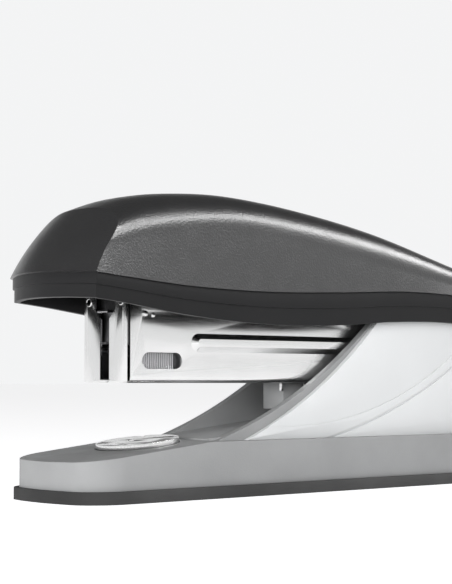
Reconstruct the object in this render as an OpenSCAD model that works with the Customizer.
// Desk stapler with a long soft-topped handle, a steel magazine that hinges in a
// low base, and a turntable anvil.  Lengths are in millimetres.
// Inside this file X runs back from the face of the magazine's nose plate, Y runs
// across, and Z rises from the underside of the magazine.  stand() then moves every
// piece so that the origin is under the middle of the stapler, on the desk.

/* [Lengths along the stapler] */
// From the magazine's nose plate back to the hinge pin
hinge_reach = 136; // [120:1:165]
// From the hinge pin back to the end of the handle
tail_reach = 21.5; // [19:0.5:25]
// From the magazine's nose plate forward to the tip of the handle
nose_reach = 21.5; // [18:0.5:26]

/* [Handle] */
// Width of the handle across the cover's lip
handle_width = 37; // [36.5:0.5:46]
// Height of the crown above the lip, as a share of the drawn profile
crown_rise = 1; // [0.85:0.01:1.2]
// How far the nose bows forward between its two corners
nose_bow = 5.8; // [4:0.2:7]
// How far the nose face leans back for each millimetre of height
nose_lean = 0.56; // [0.5:0.02:0.7]
// The same above the bend in the nose face
nose_lean_top = 1; // [0.8:0.02:1.2]
// Height of that bend above the cover's lip
nose_bend = 8; // [6:0.5:10]
// Wall of the cover and of the skirt
shell_wall = 2.2; // [1.6:0.1:2.6]
// Step in from the cover's lip to the skirt's upper band, and on to its lower band
skirt_step = 0.5; // [0.3:0.1:0.8]

/* [Magazine] */
// Width over the magazine's side plates
magazine_width = 17; // [16:0.5:18]
// Height of the side plates
magazine_height = 21; // [18:0.5:22]
// Thickness of the side plates
magazine_wall = 1.2; // [0.8:0.1:1.5]
// Thickness of the floor that the staples stand on
magazine_floor = 0.8; // [0.6:0.1:1.2]
// Radius along the two bottom edges
magazine_round = 1.6; // [1.4:0.1:2.5]
// Thickness of the nose plate
nose_plate_thick = 0.6; // [0.5:0.05:0.8]
// Gap that the driver blade moves in, from the nose plate back to the first staple
driver_gap = 1.5; // [1.4:0.1:2]

/* [Staples] */
// Crown width of a staple, outside
staple_width = 13.3; // [12:0.1:13.5]
// Leg length of a staple, outside
staple_leg = 8; // [6:0.1:8.6]
// Distance from one staple to the next in the strip
staple_pitch = 0.7; // [0.6:0.05:0.8]
// Number of staples left in the strip
staple_count = 21; // [10:1:40]

/* [Base] */
// Height of the magazine's underside above the desk
magazine_lift = 28.5; // [26:0.5:32]
// Angle the magazine swings down through to reach the anvil
close_angle = 6.3; // [5:0.1:7]
// Gap between a side of the handle's steel frame and a cheek
cheek_room = 0.8; // [0.6:0.1:1.2]
// Thickness of a cheek
cheek_thick = 2.2; // [2:0.1:2.6]
// Thickness of a white side panel
panel_thick = 1.5; // [1:0.1:1.8]
// Width of the foot, and of the rubber sole under it
foot_width = 38; // [36:1:50]
// Thickness of the rubber sole
sole_thick = 3; // [2:0.5:4]
// Radius of the round anvil plate
anvil_radius = 10.5; // [9.5:0.5:12]

/* [Hinge] */
// Diameter of the hinge pin
pin_dia = 5; // [4:0.5:6]
// Height of the hinge pin above the magazine's underside
pin_height = 12; // [11:0.5:13]
// Radial clearance of each bore on the pin
pin_clear = 0.05; // [0.02:0.01:0.1]

/* [Hidden] */

$fn = 64;
eps = 0.01;
big = 400;
slip = 0.15;                                   // clearance of parts that slide on each other

// ---- places shared by several pieces
nose_x = -nose_reach;
tail_x = hinge_reach + tail_reach;
handle_len = tail_x - nose_x;
mid_x = (nose_x + tail_x) / 2;
desk_z = -magazine_lift;
half_w = handle_width / 2;
mag_half = magazine_width / 2;
mag_inner = mag_half - magazine_wall;
channel_front = nose_plate_thick + 0.9;        // front edge of the magazine's side plates
first_staple_x = nose_plate_thick + driver_gap;
staple_wire = 0.5;
staple_foot = magazine_floor + 0.05;
staple_top = staple_foot + staple_leg;         // top of the staple crowns
rail_half = staple_width / 2 - staple_wire - slip;
rail_top = staple_top - staple_wire - 0.05;
rail_end = hinge_reach - 12;
strip_end = first_staple_x + staple_count * staple_pitch;
pin_r = pin_dia / 2;
bore_r = pin_r + pin_clear;
frame_sheet = 1.2;
frame_half = mag_half + 0.5 + frame_sheet;      // the frame straddles the magazine
cheek_in = frame_half + cheek_room;
cheek_out = cheek_in + cheek_thick;
panel_out = cheek_out + panel_thick;
frame_bottom = desk_z + sole_thick;
rod_z = 13.6;
rod_r = 1;
spring_x = hinge_reach - 73;                   // lift spring and its block
return_x = hinge_reach - 74;                   // return spring under the handle
driver_front = nose_plate_thick + 0.35;
driver_thick = 0.5;
driver_tip = 10.2;                             // blade's lower edge with the handle up
driver_half = 6.45;
anvil_x = 1.2 + 7;                             // anvil's turning axis, in the closed frame
anvil_top = -0.35;
anvil_thick = 1.6;
button_r = 2.48;                               // shaft of the anvil's button
deck_top = -1.6;                               // top of the front deck, in the closed frame
foot_top = -14.5;
foot_half = foot_width / 2 - 1;
base_front = nose_x + 2;
base_rear = hinge_reach + 14;

// ---- smooth line through a few knots [share of the handle's length, height]
function share(x) = (x - nose_x) / handle_len;
function knot_at(k, u) = max([for (i = [0 : len(k) - 2]) if (k[i][0] <= u || i == 0) i]);
function slope_at(k, i) =
    i == 0 ? (k[1][1] - k[0][1]) / (k[1][0] - k[0][0]) :
    i == len(k) - 1 ? (k[i][1] - k[i - 1][1]) / (k[i][0] - k[i - 1][0]) :
    (k[i + 1][1] - k[i - 1][1]) / (k[i + 1][0] - k[i - 1][0]);
function hermite(a, b, ma, mb, t) = a * (2 * t^3 - 3 * t^2 + 1) + ma * (t^3 - 2 * t^2 + t)
    + b * (3 * t^2 - 2 * t^3) + mb * (t^3 - t^2);
function along(k, u) = let (i = knot_at(k, u), w = k[i + 1][0] - k[i][0])
    hermite(k[i][1], k[i + 1][1], slope_at(k, i) * w, slope_at(k, i + 1) * w, (u - k[i][0]) / w);

lip_knots = [[0, 26.6], [0.08, 25.3], [0.2, 23.8], [0.34, 23.4], [0.48, 24.2], [0.63, 25.4],
    [0.77, 24.8], [1, 20.5]];
skirt_knots = [[0, 20.6], [0.08, 19.2], [0.2, 16.6], [0.34, 15.1], [0.48, 15.4], [0.61, 16.9],
    [0.74, 17.2], [1, 14.5]];
crown_knots = [[0, 37.5], [0.08, 43.1], [0.13, 46.1], [0.2, 48.1], [0.3, 48.9], [0.44, 47],
    [0.6, 42.7], [0.77, 35.3], [1, 25]];
side_knots = [[0, 29], [0.04, 31.6], [0.12, 35.8], [0.27, 38.8], [0.4, 37], [0.57, 32.8],
    [0.7, 29.3], [0.82, 26.2], [1, 21.6]];

function lip_z(x) = along(lip_knots, share(x));
function skirt_z(x) = along(skirt_knots, share(x));
function band_z(x) = (lip_z(x) + skirt_z(x)) / 2 + 0.15;
function crown_z(x) = lip_z(x) + (along(crown_knots, share(x)) - lip_z(x)) * crown_rise;
function side_z(x) = lip_z(x) + (along(side_knots, share(x)) - lip_z(x)) * crown_rise;

// ---- plan of the handle: straight sides, a gentle taper and a round tail
taper_start = hinge_reach - 40;
taper = 0.8;
tail_round = 12;
bow_r = (half_w^2 + nose_bow^2) / (2 * nose_bow);
function plan_half(x, inset) =
    let (t = max(0, x - taper_start) / (tail_x - taper_start),
        s = max(0, x + inset - (tail_x - tail_round)) / tail_round)
    (half_w - taper * t^2 - inset) * sqrt(max(0, 1 - s^2));
function nose_front(y, inset) = nose_x + inset + bow_r - sqrt(bow_r^2 - y^2);

function stations(from, to, n) = [for (i = [0 : n]) from + (to - from) * i / n];
function tail_stations(inset, n) = [for (i = [1 : n])
    tail_x - inset - tail_round * (1 - sin(90 * i / n))];
function plan_points(inset) =
    let (w = half_w - inset,
        nose = [for (y = stations(-w, w, 14)) [nose_front(y, inset), y]],
        xs = concat(stations(taper_start - 20, tail_x - tail_round - inset, 5),
            tail_stations(inset, 10)),
        right = [for (x = xs) [x, plan_half(x, inset)]],
        left = [for (i = [len(xs) - 2 : -1 : 0]) [xs[i], -plan_half(xs[i], inset)]])
    concat(nose, right, left);

// ---- placing
module stand() {
    translate([-mid_x, 0, magazine_lift]) children();
}

// Turns pieces about the hinge pin to where the closed magazine lies
module closed_frame() {
    translate([hinge_reach, 0, pin_height])
        rotate([0, -close_angle, 0])
            translate([-hinge_reach, 0, -pin_height])
                children();
}

// Extrudes a side view, drawn in X and Z, between two values of Y
module side_slab(y0, y1) {
    translate([0, y1, 0]) rotate([90, 0, 0]) linear_extrude(y1 - y0) children();
}

module both_sides() {
    children();
    mirror([0, 1, 0]) children();
}

module across(r, y0, y1, x, z) {
    translate([x, y1, z]) rotate([90, 0, 0]) cylinder(r = r, h = y1 - y0);
}

function arc_points(cx, cz, r, a0, a1, n) =
    [for (i = [0 : n]) let (a = a0 + (a1 - a0) * i / n) [cx + r * cos(a), cz + r * sin(a)]];

// Coil spring about a line through [x, y], from z0 to z1, with closed round wire
module coil(r, wire_r, z0, z1, turns) {
    sides = 6;
    steps = turns * 12;
    ring = [for (i = [0 : steps]) let (a = 360 * turns * i / steps)
        [for (j = [0 : sides - 1]) let (b = 360 * j / sides, q = r + wire_r * cos(b))
            [q * cos(a), q * sin(a),
                z0 + wire_r + (z1 - z0 - 2 * wire_r) * i / steps + wire_r * sin(b)]]];
    points = [for (one = ring) for (p = one) p];
    skin = [for (i = [0 : steps - 1]) for (j = [0 : sides - 1])
        [i * sides + j, i * sides + (j + 1) % sides,
            (i + 1) * sides + (j + 1) % sides, (i + 1) * sides + j]];
    ends = [[for (j = [sides - 1 : -1 : 0]) j], [for (j = [0 : sides - 1]) steps * sides + j]];
    polyhedron(points, concat(skin, ends), convexity = 10);
}

// ---- handle shell
section_power = 2.5;
rib_thick = 0.06;
side_draft = 0.7;

function section_points(x, inset) =
    let (w = plan_half(x, inset), a = w - min(side_draft, w / 4), low = skirt_z(x) - 2,
        zs = side_z(x) - inset, b = crown_z(x) - inset - zs, n = 14,
        half = [for (i = [0 : n]) let (q = 90 * i / n)
            [a * pow(cos(q), 2 / section_power), zs + b * pow(sin(q), 2 / section_power)]])
    concat([[w, low]], half, [for (i = [n - 1 : -1 : 0]) [-half[i][0], half[i][1]]], [[-w, low]]);

module rib(x, inset) {
    translate([x, 0, 0]) rotate([90, 0, 90]) linear_extrude(rib_thick) polygon(section_points(x, inset));
}

// Solid form of the handle's outside, drawn in by inset
module handle_form(inset) {
    xs = concat([nose_x - 6], stations(nose_x + 8, tail_x - tail_round - inset, 11),
        [for (s = [0.5, 0.75, 0.9, 0.999]) tail_x - tail_round - inset + tail_round * s]);
    intersection() {
        for (i = [0 : len(xs) - 2]) hull() {
            rib(max(nose_x, xs[i]), inset);
            rib(xs[i + 1], inset);
        }
        nose_limit(inset, nose_lean, 0);
        nose_limit(inset, nose_lean_top, (nose_lean_top - nose_lean) * nose_bend);
    }
}

// Everything behind a bowed nose face that leans back, and starts a little ahead of the nose
module nose_limit(inset, lean, ahead) {
    shift = -lean * lip_z(nose_x) - ahead;
    multmatrix([[1, 0, lean, shift], [0, 1, 0, 0], [0, 0, 1, 0], [0, 0, 0, 1]])
        translate([0, 0, -10])
            linear_extrude(70)
                polygon(concat([for (y = stations(-half_w, half_w, 18)) [nose_front(y, inset), y]],
                    [[big, half_w], [big, -half_w]]));
}

// Side view of all that lies between two lines of the handle
line_xs = stations(nose_x - 1, tail_x + 1, 40);

module above_lip() {
    side_slab(-half_w - 1, half_w + 1)
        polygon(concat([for (x = line_xs) [x, lip_z(x)]], [[tail_x + 1, 80], [nose_x - 1, 80]]));
}

module between_lip_and_band() {
    side_slab(-half_w, half_w)
        polygon(concat([for (x = line_xs) [x, band_z(x)]],
            [for (i = [len(line_xs) - 1 : -1 : 0]) [line_xs[i], lip_z(line_xs[i])]]));
}

module between_band_and_hem() {
    side_slab(-half_w, half_w)
        polygon(concat([for (x = line_xs) [x, skirt_z(x)]],
            [for (i = [len(line_xs) - 1 : -1 : 0]) [line_xs[i], band_z(line_xs[i])]]));
}

frame_top_front = 35.2;
frame_top_rear = 24.2;
frame_front = -2;
frame_rear = hinge_reach + 6;
function frame_top(x) =
    frame_top_front + (frame_top_rear - frame_top_front) * max(0, x - 8) / (frame_rear - 8);
screw_xs = [26, hinge_reach - 34];

module handle_cover() {
    color([0.09, 0.09, 0.095])
        difference() {
            intersection() {
                union() {
                    difference() {
                        handle_form(0);
                        handle_form(shell_wall);
                    }
                    intersection() {
                        handle_form(shell_wall / 2);
                        for (x = screw_xs)
                            translate([x, 0, frame_top(x) + 0.3]) cylinder(r = 3.2, h = 40, $fn = 24);
                    }
                }
                above_lip();
            }
            for (x = screw_xs)
                translate([x, 0, frame_top(x) - 1]) cylinder(r = 1.4, h = 8, $fn = 24);
        }
}

module handle_skirt() {
    color([0.06, 0.06, 0.065]) {
        intersection() {
            skirt_ring(skirt_step);
            between_lip_and_band();
        }
        intersection() {
            skirt_ring(2 * skirt_step);
            between_band_and_hem();
        }
    }
}

module skirt_ring(step) {
    translate([0, 0, 5]) linear_extrude(35)
        difference() {
            polygon(plan_points(step));
            polygon(plan_points(skirt_step + shell_wall));
        }
}

module handle_frame() {
    wing_front = hinge_reach - 22;
    color([0.62, 0.63, 0.65])
        difference() {
            union() {
                difference() {
                    side_slab(-frame_half, frame_half)
                        polygon([[frame_front, frame_top(0)], [8, frame_top(8)],
                            [frame_rear, frame_top(frame_rear)],
                            [frame_rear, pin_height + 6], [wing_front, pin_height + 9.5],
                            [60, 26.5], [frame_front, 30]]);
                    side_slab(-frame_half + frame_sheet, frame_half - frame_sheet)
                        polygon([[frame_front - 1, frame_top(0) - frame_sheet],
                            [8, frame_top(8) - frame_sheet],
                            [frame_rear + 1, frame_top(frame_rear) - frame_sheet],
                            [frame_rear + 1, 0], [frame_front - 1, 0]]);
                }
                both_sides() {
                    across(7, frame_half - frame_sheet, frame_half, hinge_reach, pin_height);
                    side_slab(frame_half - frame_sheet, frame_half)
                        polygon([[wing_front, pin_height + 9.5], [hinge_reach - 6.5, pin_height - 2],
                            [hinge_reach + 6.5, pin_height + 2], [frame_rear, pin_height + 8]]);
                }
            }
            across(bore_r, -big / 2, big / 2, hinge_reach, pin_height);
            driver_rivet_places() cylinder(r = 1.2, h = 20);
            for (x = screw_xs) translate([x, 0, 20]) cylinder(r = 1.5, h = 20);
        }
}

driver_flange = 8;
driver_lean = 4.4;                             // so that the blade is upright when it is down
guide_bar_z = 17.8;

module driver_rivet_places() {
    for (y = [-3.5, 3.5]) translate([5.2, y, 20]) children();
}

module driver_blade() {
    flange_top = frame_top(0) - frame_sheet;
    flange_x = driver_front + (flange_top - driver_tip) * tan(driver_lean);
    guide_r = 0.4;
    color([0.55, 0.56, 0.58])
        difference() {
            union() {
                side_slab(-driver_half, driver_half)
                    polygon([[driver_front, driver_tip], [driver_front + driver_thick, driver_tip],
                        [flange_x + driver_thick, flange_top], [flange_x, flange_top]]);
                translate([flange_x, -driver_half, flange_top - 0.8])
                    cube([driver_flange - flange_x, 2 * driver_half, 0.8]);
            }
            driver_rivet_places() cylinder(r = 1.2, h = 20);
        }
    color([0.55, 0.56, 0.58]) {
        // a T-shaped guide that runs through the nose plate's slot
        translate([-0.3, -1.2, guide_bar_z - 0.3]) cube([driver_front + 0.95, 2.4, 0.6]);
        across(guide_r, -2.1, 2.1, -0.05 - guide_r, guide_bar_z);
    }
}

module driver_rivets() {
    flange_low = frame_top(0) - frame_sheet - 0.8;
    color("silver") driver_rivet_places() {
        translate([0, 0, flange_low - 0.6 - 20]) cylinder(r = 2, h = 0.6);
        translate([0, 0, flange_low - 0.3 - 20]) cylinder(r = 1.1, h = frame_top(0) - flange_low + 0.6);
        translate([0, 0, frame_top(0) - 20]) cylinder(r = 2, h = 0.6);
    }
}

module cover_screws() {
    color("silver")
        for (x = screw_xs) translate([x, 0, frame_top(x)]) {
            translate([0, 0, -frame_sheet - 2]) cylinder(r = 2.4, h = 1.6);
            translate([0, 0, -frame_sheet - 0.5]) cylinder(r = 1.2, h = 7);
        }
}

return_low = magazine_height;
return_high = frame_top(return_x) - frame_sheet - 0.3;

module return_spring() {
    color("silver") translate([return_x, 0, 0]) coil(4, 0.45, return_low, return_high, 4);
}

// ---- magazine
window_front = 5.2;
window_rear = 17.9;
window_low = 3.5;
window_high = 7.6;
bead_front = 20.9;
bead_rear = hinge_reach - 34;
bead_mid = 10.2;
bead_root = 2.35;
bead_crest = 0.95;
bead_proud = 1.2;

module magazine_section() {
    difference() {
        union() {
            translate([-mag_half, magazine_round]) square([magazine_width, magazine_height - magazine_round]);
            translate([-mag_half + magazine_round, 0])
                square([magazine_width - 2 * magazine_round, magazine_round + eps]);
            for (s = [-1, 1]) translate([s * (mag_half - magazine_round), magazine_round])
                circle(r = magazine_round);
        }
        translate([-mag_inner, magazine_floor]) square([2 * mag_inner, magazine_height]);
    }
}

module obround(x0, x1, z0, z1) {
    r = (z1 - z0) / 2;
    translate([x0 + r, z0]) square([x1 - x0 - 2 * r, z1 - z0]);
    for (x = [x0 + r, x1 - r]) translate([x, z0 + r]) circle(r = r);
}

module bead() {
    translate([bead_front + bead_root, mag_half - 0.3, bead_mid])
        rotate([90, 0, 90])
            linear_extrude(bead_rear - bead_front - 2 * bead_root)
                polygon([[0, -bead_root], [0.3, -bead_root], [0.3 + bead_proud, -bead_crest],
                    [0.3 + bead_proud, bead_crest], [0.3, bead_root], [0, bead_root]]);
    for (x = [bead_front + bead_root, bead_rear - bead_root])
        translate([x, mag_half - eps, bead_mid])
            rotate([-90, 0, 0])
                cylinder(r1 = bead_root, r2 = bead_crest, h = bead_proud + eps, $fn = 32);
}

module magazine_channel() {
    rear_r = 9.2;
    color([0.78, 0.79, 0.8])
        difference() {
            union() {
                difference() {
                    translate([channel_front, 0, 0])
                        rotate([90, 0, 90])
                            linear_extrude(hinge_reach + rear_r - channel_front) magazine_section();
                    // the plates end in a round lug about the hinge pin
                    translate([hinge_reach, -big / 2, pin_height]) cube([big, big, big]);
                    side_slab(-mag_half - 1, mag_half + 1)
                        polygon([[hinge_reach - 4, -1], [hinge_reach + rear_r + 1, -1],
                            [hinge_reach + rear_r + 1, pin_height + 1], [hinge_reach, pin_height]]);
                }
                both_sides() {
                    across(rear_r - 0.2, mag_inner, mag_half, hinge_reach, pin_height);
                    bead();
                }
            }
            side_slab(-mag_half - 1, mag_half + 1)
                obround(window_front, window_rear, window_low, window_high);
            across(bore_r, -big / 2, big / 2, hinge_reach, pin_height);
            translate([-1, -staple_width / 2 - slip, -1])
                cube([first_staple_x + 1, staple_width + 2 * slip, magazine_floor + 2]);
            across(rivet_r + 0.02, -big / 2, big / 2, rivet_x, rivet_z);
            across(strap_rivet_r + 0.02, -big / 2, big / 2, bridge_x, bridge_z);
        }
}

slot_half = 1.87;
throat_half = 4.35;
slot_low = 0.9;
slot_high = 15.9;
nose_plate_high = 22.5;
eyelet_y = 6.6;
eyelet_z = 20.2;

module nose_plate() {
    shoulder = throat_half - slot_half;
    flange_low = 9.5;
    color([0.85, 0.86, 0.87]) {
        difference() {
            rotate([90, 0, 90])
                linear_extrude(nose_plate_thick)
                    difference() {
                        translate([-mag_half, 0.3]) square([magazine_width, nose_plate_high - 0.3]);
                        polygon([[-slot_half, slot_low], [slot_half, slot_low], [slot_half, slot_high],
                            [throat_half, slot_high + shoulder], [throat_half, nose_plate_high + 1],
                            [-throat_half, nose_plate_high + 1],
                            [-throat_half, slot_high + shoulder], [-slot_half, slot_high]]);
                    }
            for (s = [-1, 1]) translate([-1, s * eyelet_y, eyelet_z]) rotate([0, 90, 0])
                cylinder(r = 0.8, h = 5);
        }
        translate([0, -mag_half + magazine_round, 0])
            cube([nose_plate_thick, magazine_width - 2 * magazine_round, 0.3]);
        both_sides() difference() {
            translate([nose_plate_thick - eps, staple_width / 2 + 0.05, flange_low])
                cube([9, mag_inner - staple_width / 2 - 0.07, magazine_height - 0.5 - flange_low]);
            across(rivet_r + 0.02, 0, mag_half, rivet_x, rivet_z);
        }
    }
}

rivet_x = 6.1;
rivet_z = 17.2;
rivet_r = 0.7;
bridge_x = return_x - 10;
bridge_z = 18;
strap_rivet_r = 1;

module magazine_rivets() {
    color("gainsboro") both_sides() {
        across(rivet_r, staple_width / 2 + 0.3, mag_half + 0.35, rivet_x, rivet_z);
        across(strap_rivet_r, mag_inner - 0.8, mag_half + 0.2, bridge_x, bridge_z);
        across(strap_rivet_r + 0.5, mag_half, mag_half + 0.35, bridge_x, bridge_z);
    }
}

module staple_rail() {
    sheet = 0.9;
    color([0.3, 0.3, 0.32])
        difference() {
            translate([first_staple_x, -rail_half, magazine_floor])
                cube([rail_end - first_staple_x, 2 * rail_half, rail_top - magazine_floor]);
            translate([first_staple_x - 1, -rail_half + sheet, magazine_floor - 1])
                cube([rail_end + 1, 2 * (rail_half - sheet), rail_top - magazine_floor + 1 - sheet]);
        }
}

module staple_strip() {
    half = staple_width / 2;
    wire_w = staple_pitch - 0.08;
    color([0.8, 0.8, 0.82])
        for (i = [0 : staple_count - 1])
            translate([first_staple_x + 0.02 + i * staple_pitch, 0, staple_foot])
                difference() {
                    translate([0, -half, 0]) cube([wire_w, staple_width, staple_leg]);
                    translate([-1, -half + staple_wire, -1])
                        cube([3, staple_width - 2 * staple_wire, staple_leg + 1 - staple_wire]);
                }
}

module follower_rod() {
    color("silver") translate([bracket_x, 0, rod_z]) rotate([0, 90, 0])
        cylinder(r = rod_r, h = rail_end - bracket_x);
}

bracket_x = 3;
bracket_sheet = 1;

module rod_bracket() {
    color([0.7, 0.71, 0.73]) difference() {
        union() {
            translate([bracket_x - 0.4, -staple_width / 2, staple_top + 0.9])
                cube([bracket_sheet, staple_width, 7]);
            translate([rail_end - bracket_sheet, -mag_inner, rail_top + 0.1])
                cube([bracket_sheet, 2 * mag_inner, 9]);
        }
        translate([0, 0, rod_z]) rotate([0, 90, 0]) cylinder(r = rod_r + 0.02, h = big);
    }
}

pusher_front = strip_end + 0.1;
pusher_len = 15;

module follower_spring() {
    color("silver")
        translate([pusher_front + pusher_len + 0.3, 0, rod_z])
            rotate([0, 90, 0])
                coil(1.9, 0.3, 0, rail_end - bracket_sheet - pusher_front - pusher_len - 0.6, 18);
}

module spring_bridge() {
    seat = 1.2;
    length = return_x - bridge_x + 6;
    color([0.7, 0.71, 0.73]) difference() {
        union() {
            translate([bridge_x - 3, -mag_inner, magazine_height - seat])
                cube([length + 3, 2 * mag_inner, seat]);
            both_sides() translate([bridge_x - 3, mag_inner - 0.8, bridge_z - 2.5])
                cube([6, 0.8, magazine_height - bridge_z + 2]);
        }
        across(strap_rivet_r + 0.02, -big / 2, big / 2, bridge_x, bridge_z);
    }
}

block_len = 12;
block_half = 4;
block_deep = 7;

module stop_block() {
    color([0.42, 0.43, 0.44])
        difference() {
            translate([spring_x - block_len / 2, -block_half, -block_deep])
                cube([block_len, 2 * block_half, block_deep]);
            translate([spring_x, 0, -block_deep - 1]) cylinder(r = 3.6, h = 3);
        }
}

module stop_strap() {
    tab = 0.8;
    tab_deep = 2.2;
    color([0.8, 0.81, 0.82]) for (x = [spring_x - 8, spring_x + 0.4])
        translate([x, -block_half - 0.6 - tab, -tab_deep]) cube([tab, tab, tab_deep]);
}

module pin_sleeve() {
    color([0.6, 0.6, 0.62]) difference() {
        across(pin_r + 1.5, -mag_inner + 0.02, mag_inner - 0.02, hinge_reach, pin_height);
        across(bore_r, -mag_half, mag_half, hinge_reach, pin_height);
    }
}

module staple_pusher() {
    half = staple_width / 2 - 0.05;
    boss_r = 2.6;
    color([0.25, 0.25, 0.27])
        difference() {
            union() {
                translate([pusher_front, -half, magazine_floor + slip])
                    cube([pusher_len, 2 * half, rail_top + 1.6 - magazine_floor - slip]);
                translate([pusher_front, 0, rod_z]) rotate([0, 90, 0])
                    cylinder(r = boss_r, h = pusher_len);
                translate([pusher_front, -boss_r, rail_top + 1])
                    cube([pusher_len, 2 * boss_r, rod_z - rail_top - 1]);
            }
            translate([pusher_front - 1, -rail_half - slip, -1])
                cube([pusher_len + 2, 2 * (rail_half + slip), rail_top + 1 + slip]);
            translate([pusher_front - 1, 0, rod_z]) rotate([0, 90, 0])
                cylinder(r = rod_r + 0.08, h = pusher_len + 2);
        }
}

// ---- base
ear_r = 9.2;                                   // round end of the cheeks about the pin
edge_r = 152.9;                                // sweep of the cheek's front edge
edge_cx = hinge_reach - 154.3;
edge_cz = 131.9;
panel_edge_r = 142.3;                          // sweep of the white panel's front edge
panel_edge_cx = hinge_reach - 153.1;
panel_edge_cz = 118.1;
cheek_top = 19;

// Side view of a cheek with its front edge on a given arc
module cheek_outline(cx, cz, r, low, ear) {
    a0 = -acos(min(1, 0.999 * (cheek_front(cx, cz, r, low) - cx) / r));
    a1 = -asin((cz - cheek_top) / r);
    polygon(concat(arc_points(cx, cz, r, a0, a1, 24),
        arc_points(hinge_reach, pin_height, ear, 100, -70, 24),
        [[hinge_reach + 2, -2], [hinge_reach + 2, -9], [hinge_reach + 4, -14], [hinge_reach + 4, low],
            [cheek_front(cx, cz, r, low), low]]));
}

function cheek_front(cx, cz, r, low) = cx + sqrt(r^2 - (cz - low)^2);

module foot_plan(inset) {
    half = foot_width / 2 - inset;
    front = base_front + inset;
    rear = base_rear - inset;
    corner = 12;
    difference() {
        round_corner_plan(front, rear, half, corner);
        difference() {
            translate([front - 1, -half - 1]) square([bow_r, 2 * half + 2]);
            translate([front + 1.6 * bow_r, 0]) circle(r = 1.6 * bow_r, $fn = 160);
        }
    }
}

module round_corner_plan(x0, x1, half, corner) {
    translate([x0, -half + corner]) square([x1 - x0, 2 * (half - corner)]);
    translate([x0 + corner, -half]) square([x1 - x0 - 2 * corner, 2 * half]);
    for (x = [x0 + corner, x1 - corner]) for (y = [-half + corner, half - corner])
        translate([x, y]) circle(r = corner);
}

well_len = block_len + 6;
well_half = block_half + 2.4;

module base_frame() {
    wall = 2.4;
    color([0.45, 0.46, 0.47])
        difference() {
            union() {
                difference() {
                    translate([0, 0, frame_bottom]) linear_extrude(foot_top - frame_bottom) foot_plan(1);
                    closed_frame() translate([-80, -big / 2, deck_top]) cube([big, big, 60]);
                    translate([0, 0, frame_bottom - 1])
                        linear_extrude(foot_top - frame_bottom - 1.6) difference() {
                            intersection() {
                                foot_plan(1 + wall);
                                translate([26, -foot_width]) square([big, 2 * foot_width]);
                            }
                            base_screw_plan() circle(r = 3.2);
                        }
                    translate([0, 0, frame_bottom - 1])
                        linear_extrude(1 + plate_thick) intersection() {
                            foot_plan(1 + wall);
                            translate([26, -foot_width]) square([big, 2 * foot_width]);
                        }
                }
                both_sides() side_slab(cheek_in, cheek_out)
                    cheek_outline(edge_cx, edge_cz, edge_r, foot_top - 1, ear_r);
                // floor between the cheeks, in line with the front deck
                difference() {
                    side_slab(-cheek_in - 0.5, cheek_in + 0.5)
                        polygon([[24, foot_top - 1], [hinge_reach - 16, foot_top - 1],
                            [hinge_reach - 16, 0], [24, 0]]);
                    closed_frame() translate([-80, -big / 2, deck_top]) cube([big, big, 60]);
                }
            }
            // well for the stop block and the lift spring
            translate([spring_x - well_len / 2, -well_half, desk_z])
                cube([well_len, 2 * well_half, big]);
            // round seat and button hole of the anvil
            closed_frame() translate([anvil_x, 0, 0]) {
                translate([0, 0, anvil_top - anvil_thick - 0.1]) cylinder(r = anvil_radius + 0.3, h = 20);
                translate([0, 0, -40]) cylinder(r = button_r + 0.07, h = 50);
                translate([0, 0, -40]) cylinder(r = 6, h = 40 - 5.2);
            }
            across(pin_r + 0.01, -big / 2, big / 2, hinge_reach, pin_height);
            translate([0, 0, frame_bottom - 1]) linear_extrude(9) base_screw_plan() circle(r = 1.3);
        }
}

plate_thick = 1.2;

module base_screw_plan() {
    for (x = [40, hinge_reach - 6]) for (y = [-12.6, 12.6]) translate([x, y]) children();
}

// Groove that sweeps across the panel, its floor sloping down from the inner radius to the outer
groove_deep = 0.5;

module sweep_groove(cx, cz, inner, outer) {
    slope = (outer - inner) / groove_deep;
    spare = 0.1;
    translate([cx, -panel_out, cz]) rotate([90, 0, 0]) difference() {
        translate([0, 0, -groove_deep]) cylinder(r = outer, h = 2 * groove_deep, $fn = 360);
        translate([0, 0, -groove_deep - spare])
            cylinder(r1 = outer + spare * slope, r2 = inner - groove_deep * slope,
                h = 2 * groove_deep + spare, $fn = 360);
    }
}

module side_panel() {
    difference() {
        side_slab(-panel_out, -cheek_out)
            cheek_outline(panel_edge_cx, panel_edge_cz, panel_edge_r, foot_top, ear_r);
        sweep_groove(hinge_reach - 87, 109, 117.2, 120.4);
        sweep_groove(hinge_reach - 112.1, 164.6, 183.2, 184);
        across(pin_r + 1.2, -cheek_out - 0.6, 0, hinge_reach, pin_height);
    }
}

module side_panel_left() {
    color([0.9, 0.91, 0.91]) side_panel();
}

module side_panel_right() {
    color([0.9, 0.91, 0.91]) mirror([0, 1, 0]) side_panel();
}

module base_plate() {
    color([0.6, 0.6, 0.62])
        difference() {
            translate([0, 0, frame_bottom]) linear_extrude(plate_thick) intersection() {
                foot_plan(1 + 2.4 + 0.1);
                translate([26.1, -foot_width]) square([big, 2 * foot_width]);
            }
            translate([0, 0, frame_bottom - 1]) linear_extrude(4) base_screw_plan() circle(r = 1.4);
        }
}

module rubber_sole() {
    color([0.07, 0.07, 0.07])
        difference() {
            translate([0, 0, desk_z]) linear_extrude(sole_thick) foot_plan(0);
            // grip grooves across the underside
            for (i = [0 : 4]) translate([-8 + i * 5, -12, desk_z - 1]) cube([1.6, 24, 1.6]);
            for (i = [0 : 4]) translate([hinge_reach - 16 + i * 5, -12, desk_z - 1]) cube([1.6, 24, 1.6]);
            closed_frame() translate([anvil_x, 0, -60]) cylinder(r = 6.6, h = 60);
            translate([0, 0, desk_z - 1]) linear_extrude(sole_thick + 2) base_screw_plan() circle(r = 3);
        }
}

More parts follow.
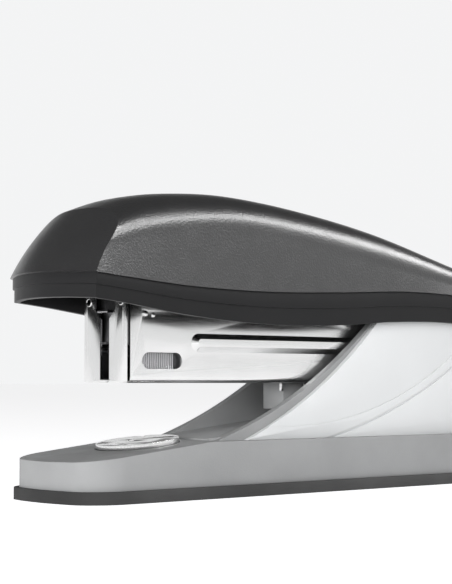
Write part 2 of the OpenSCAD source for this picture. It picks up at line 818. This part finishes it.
module hinge_pin() {
    color("silver") across(pin_r, -cheek_out, cheek_out, hinge_reach, pin_height);
}

module pin_washers() {
    color("silver") both_sides() difference() {
        across(pin_r + 1.1, cheek_out + 0.02, cheek_out + 0.5, hinge_reach, pin_height);
        across(pin_r - 0.6, 0, big / 2, hinge_reach, pin_height);
    }
}

module base_screws() {
    color("silver") {
        translate([0, 0, frame_bottom - 1]) linear_extrude(1) base_screw_plan() circle(r = 2.4);
        translate([0, 0, frame_bottom - 0.5]) linear_extrude(7.5) base_screw_plan() circle(r = 1.25);
    }
}

module lift_spring() {
    color("silver") translate([spring_x, 0, 0])
        coil(3, 0.45, frame_bottom + 1.25, -block_deep + 1.9, 6);
}

// ---- anvil
module anvil_plate() {
    color([0.75, 0.76, 0.77])
        closed_frame() translate([anvil_x, 0, 0])
            difference() {
                translate([0, 0, anvil_top - anvil_thick]) cylinder(r = anvil_radius, h = anvil_thick);
                // curved pockets that fold the legs in, and two that let them run out
                for (s = [-1, 1]) translate([-7 - 0.7, s * 4, anvil_top + 3.6])
                    rotate([0, 90, 0]) cylinder(r = 4.2, h = 1.4);
                for (s = [-1, 1]) translate([7 - 0.7, s * 6.6, anvil_top + 3.9])
                    rotate([0, 90, 0]) cylinder(r = 4.4, h = 1.4);
                translate([0, 0, -10]) cylinder(r = button_r + 0.02, h = 20);
            }
}

module anvil_button() {
    color([0.3, 0.3, 0.32])
        closed_frame() translate([anvil_x, 0, 0]) {
            translate([0, 0, anvil_top - anvil_thick - 7]) cylinder(r = button_r, h = anvil_thick + 6.8);
            translate([0, 0, anvil_top - anvil_thick - 8.6]) cylinder(r = 5.4, h = 1.7);
        }
}

module anvil_washer() {
    color("silver")
        closed_frame() translate([anvil_x, 0, 0])
            difference() {
                translate([0, 0, -6.4]) cylinder(r = 4.6, h = 0.5);
                translate([0, 0, -10]) cylinder(r = 2.6, h = 10);
            }
}

stand() base_frame();
stand() side_panel_left();
stand() side_panel_right();
stand() base_plate();
stand() rubber_sole();
stand() hinge_pin();
stand() pin_washers();
stand() base_screws();
stand() lift_spring();
stand() anvil_plate();
stand() anvil_button();
stand() anvil_washer();
stand() magazine_channel();
stand() nose_plate();
stand() staple_rail();
stand() staple_strip();
stand() follower_rod();
stand() rod_bracket();
stand() follower_spring();
stand() spring_bridge();
stand() stop_block();
stand() stop_strap();
stand() magazine_rivets();
stand() pin_sleeve();
stand() staple_pusher();
stand() handle_cover();
stand() handle_skirt();
stand() handle_frame();
stand() driver_blade();
stand() driver_rivets();
stand() cover_screws();
stand() return_spring();
